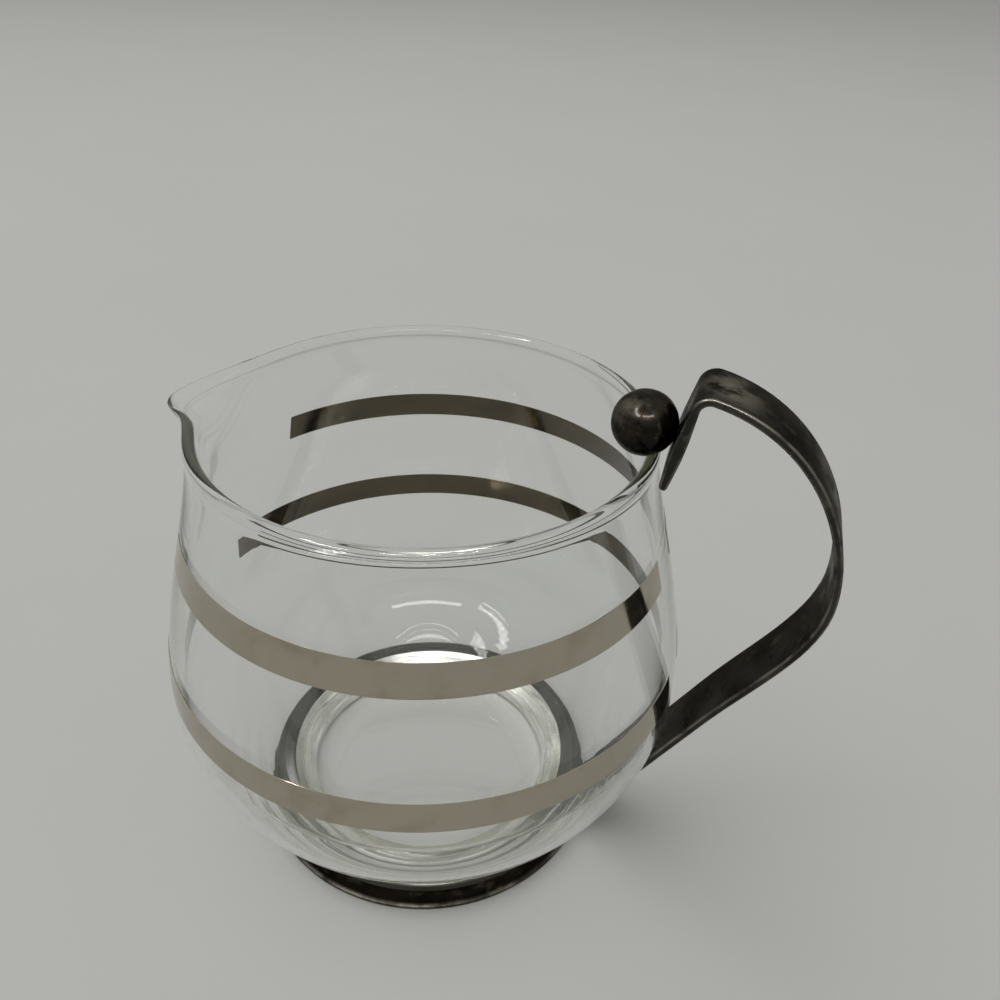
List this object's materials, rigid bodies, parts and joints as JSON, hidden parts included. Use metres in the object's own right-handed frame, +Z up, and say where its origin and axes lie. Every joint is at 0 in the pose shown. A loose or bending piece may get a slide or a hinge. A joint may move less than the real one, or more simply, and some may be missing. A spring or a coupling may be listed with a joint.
{
  "type": "cream jug",
  "caption": "Clear glass cream jug with a pulled pouring lip and silvered bands, seated in a tarnished metal frame with a foot ring, a strap handle and a ball over the rim.",
  "frame": {"origin": "centre of the foot ring on the table", "axes": "+Z up along the bowl's axis, +X towards the handle, so the lip stands towards -X"},
  "size_m": [0.1135, 0.092, 0.0963],
  "materials": {
    "clear_glass": "clear, blown, fire-polished rim",
    "fired_silver": "mirror-bright fired film, slightly warm",
    "tarnished_metal": "dark tarnished plate with worn edges"
  },
  "bodies": {
    "root": {"glass_bowl": "clear_glass", "upper_band_left": "fired_silver", "upper_band_right": "fired_silver", "lower_band_left": "fired_silver", "lower_band_right": "fired_silver", "foot_ring": "tarnished_metal", "strap_handle": "tarnished_metal", "rim_ball": "tarnished_metal", "ball_pin": "tarnished_metal"}
  },
  "joints": []
}
